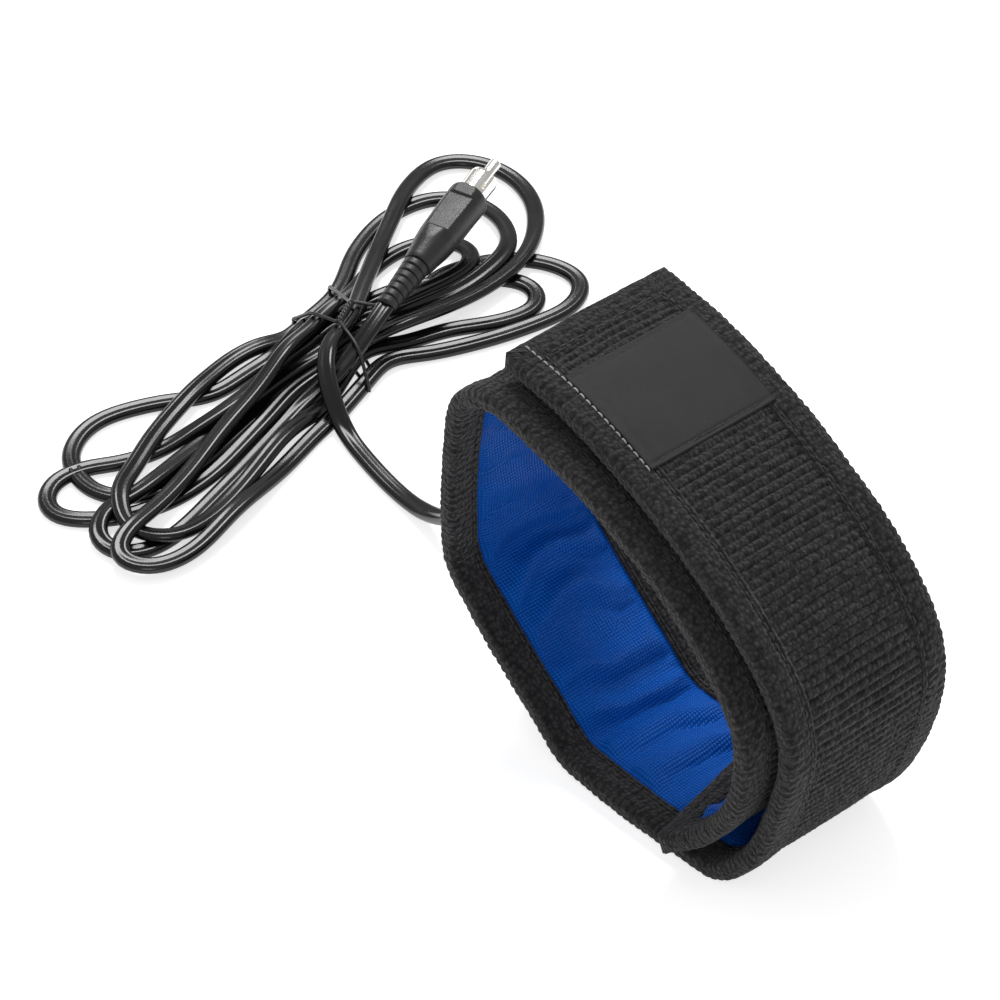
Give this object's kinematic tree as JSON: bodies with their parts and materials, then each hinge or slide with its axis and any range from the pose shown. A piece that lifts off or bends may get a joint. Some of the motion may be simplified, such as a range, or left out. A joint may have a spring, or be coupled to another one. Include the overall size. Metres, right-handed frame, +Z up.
{
  "type": "telescope dew heater strip",
  "caption": "Padded heating strip wound into an overlapping loop to warm a telescope tube, with a flat lead folded into a tied hank and a round two-pole plug.",
  "frame": {"origin": "middle of the wound strip's footprint on the surface it stands on, cord left out", "axes": "+X across the loop from the side where the lead comes out to the opposite side, +Y along the axis of the loop across the strip's width, +Z up"},
  "size_m": [0.2718, 0.1839, 0.108],
  "materials": {
    "webbing": "ribbed loop webbing, black",
    "binding": "knitted binding tape, black",
    "foam": "soft insulation sheet, dark grey",
    "lining": "woven nylon, bright blue",
    "heating_wire": "resistance wire, bare",
    "sleeve": "shrunk sleeve, black",
    "core": "insulated core, red",
    "hook": "hook tape, black",
    "label": "satin tape, charcoal",
    "cord": "smooth, black",
    "moulded": "fine satin, black",
    "tie": "coated wire, black",
    "nickel": "bright nickel plate",
    "insulator": "black"
  },
  "bodies": {
    "root": {"outer_webbing": "webbing", "edge_binding": "binding", "insulation_pad": "foam", "lining": "lining", "heating_wire": "heating_wire", "joint_sleeve_near": "sleeve", "joint_sleeve_far": "sleeve", "core_wire_near": "core", "core_wire_far": "core", "hook_patch": "hook", "label": "label", "entry_patch": "binding", "cord_boot": "moulded", "cord_lead": "cord", "cord_hank": "cord", "twist_tie": "tie", "plug_moulding": "moulded", "plug_shell": "nickel", "plug_insulator": "insulator", "plug_pin": "nickel", "cord_tail": "cord"}
  },
  "joints": []
}
